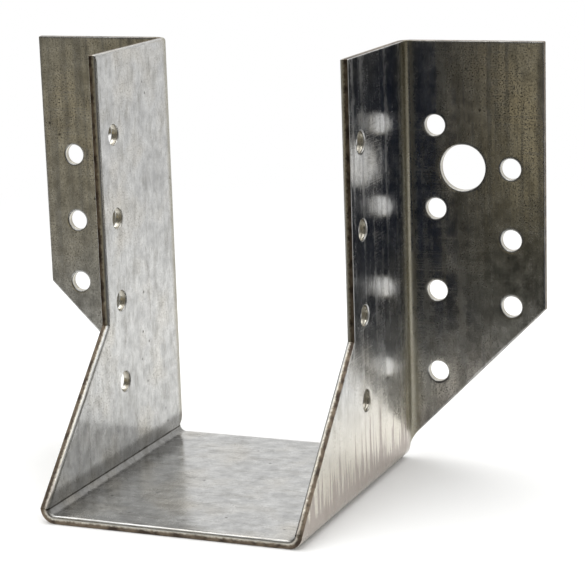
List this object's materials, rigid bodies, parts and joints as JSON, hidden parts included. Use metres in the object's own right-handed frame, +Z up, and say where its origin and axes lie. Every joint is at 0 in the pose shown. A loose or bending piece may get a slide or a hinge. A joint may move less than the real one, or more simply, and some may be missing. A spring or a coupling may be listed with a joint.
{
  "type": "joist hanger bracket",
  "caption": "U-shaped joist hanger folded from one steel sheet: a flat seat, two sloping-fronted side plates and outward flanges punched for nails and bolts.",
  "frame": {"origin": "middle of the footprint on the underside of the seat: halfway between the side plates and halfway along the seat's depth", "axes": "+X across the joist to the right flange, +Y along the joist towards the header, +Z up; the flanges' back faces lie on the header plane at the +Y end"},
  "size_m": [0.1316, 0.0746, 0.102],
  "materials": {
    "galvanised_steel": "bright hot-dip galvanised sheet with rolling streaks, uncoated cut edges"
  },
  "bodies": {
    "root": {"joist_hanger": "galvanised_steel"}
  },
  "joints": []
}
